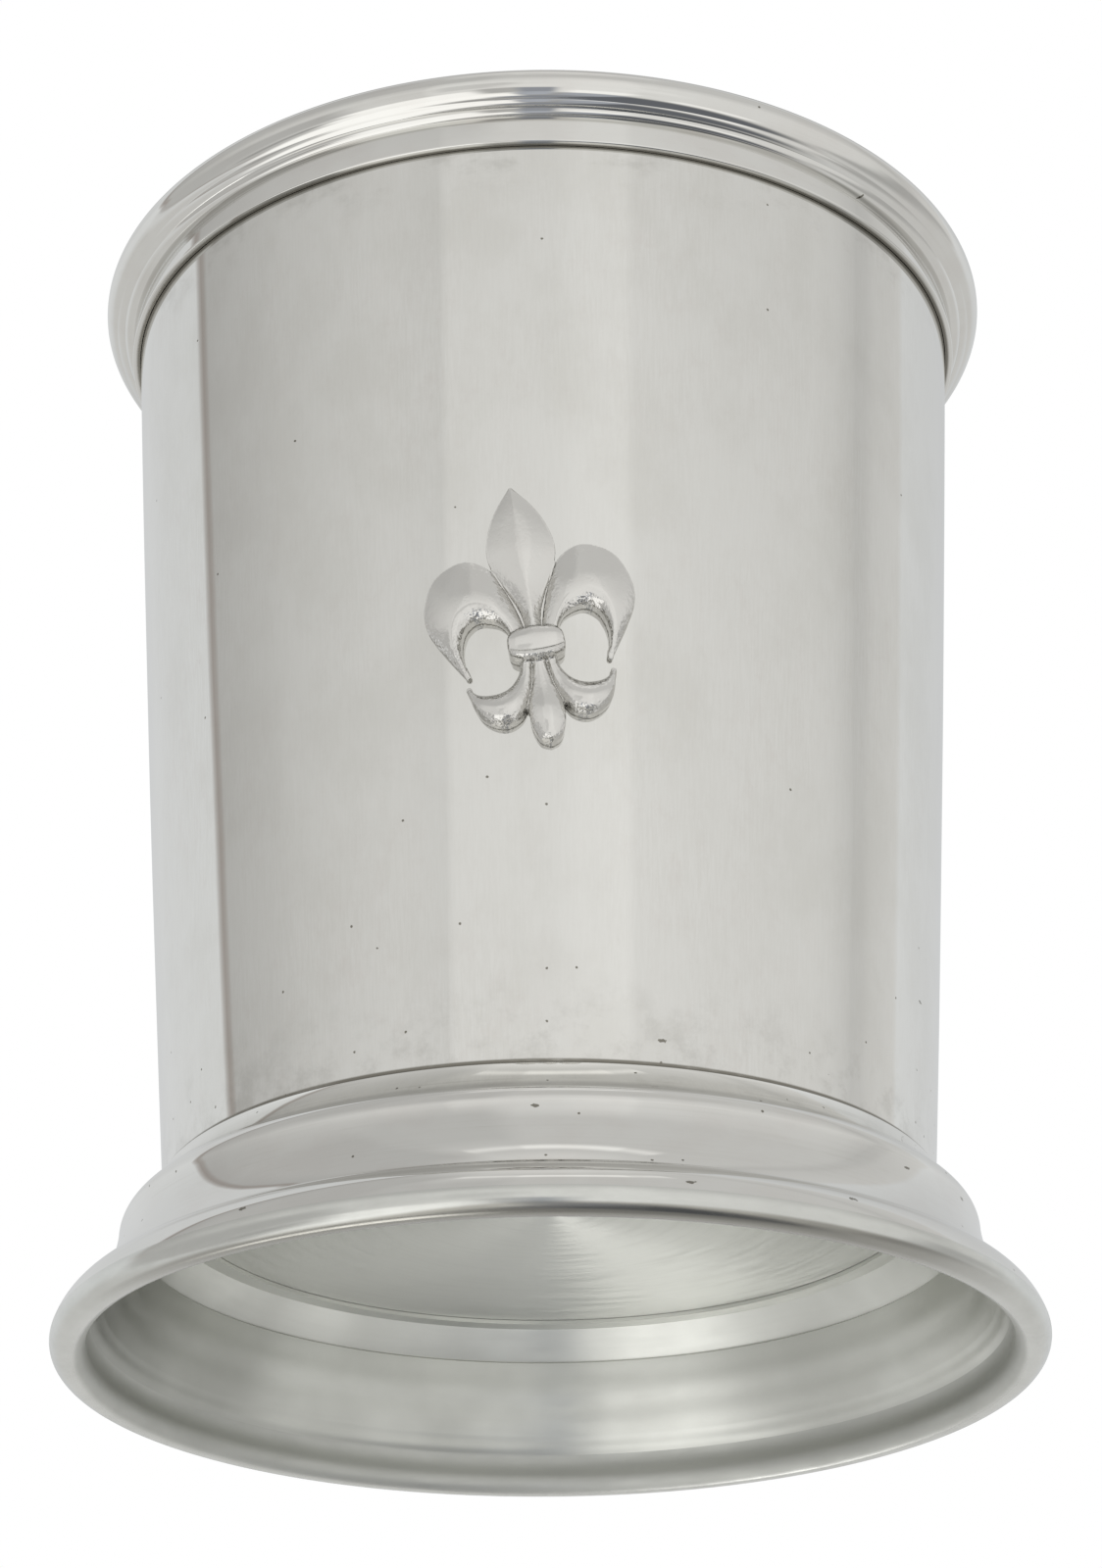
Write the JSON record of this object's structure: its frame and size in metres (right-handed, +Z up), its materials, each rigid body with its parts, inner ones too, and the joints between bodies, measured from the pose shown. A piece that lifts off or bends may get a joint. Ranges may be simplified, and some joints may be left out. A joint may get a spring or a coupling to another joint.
{
  "type": "julep cup",
  "caption": "Tapered metal julep cup with a moulded rim band, a stepped flared foot with a rolled edge and a cast fleur-de-lis on the front; holds a cold drink.",
  "frame": {"origin": "centre of the circle that the foot rests on, at table height", "axes": "+Z up along the cup's axis, -Y out of the front, which carries the fleur-de-lis, and +X to the right seen from the front"},
  "size_m": [0.082, 0.082, 0.1016],
  "materials": {
    "polished_metal": "mirror-polished pewter with fine wear",
    "satin_metal": "spun satin pewter",
    "cast_metal": "polished cast pewter"
  },
  "bodies": {
    "root": {"body": "polished_metal", "bottom_disc": "satin_metal", "rim_moulding": "polished_metal", "foot_ring": "polished_metal", "fleur_de_lis_badge": "cast_metal"}
  },
  "joints": []
}
